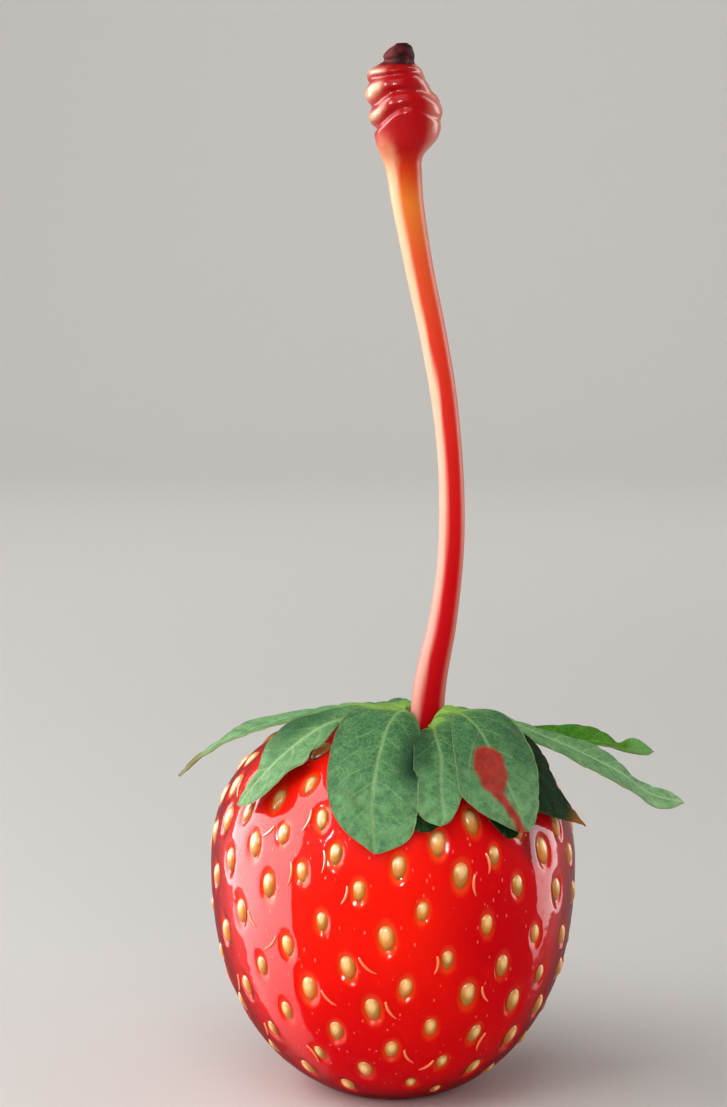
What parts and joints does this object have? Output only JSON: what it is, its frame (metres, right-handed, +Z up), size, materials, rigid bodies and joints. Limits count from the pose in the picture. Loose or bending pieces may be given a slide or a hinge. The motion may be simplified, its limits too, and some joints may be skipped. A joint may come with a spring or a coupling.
{
  "type": "strawberry",
  "caption": "Ripe strawberry with seeded red flesh, a leafy green calyx and a long bent stalk with a swollen end, standing upright on its blunt tip.",
  "frame": {"origin": "centre of the small flat spot at the blunt tip, which the fruit rests on", "axes": "+Z up from the resting spot to the stalk, -Y towards the front, where the two broadest sepals hang down, +X to the fruit's right seen from the front"},
  "size_m": [0.0456, 0.0345, 0.0927],
  "materials": {
    "flesh": "moist glossy ripe strawberry skin, bright red, with a shallow orange-rimmed pit round each seed",
    "seeds": "glossy golden to olive achenes",
    "sepals": "satin green leaf with a fine network of veins, paler underneath and at the margins",
    "stalk": "smooth waxy stalk, crimson at the foot, amber and cream higher up, with a crimson knob and a blackish scar at its end"
  },
  "bodies": {
    "root": {"berry": "flesh", "calyx": "sepals", "stalk": "stalk"}
  },
  "joints": []
}
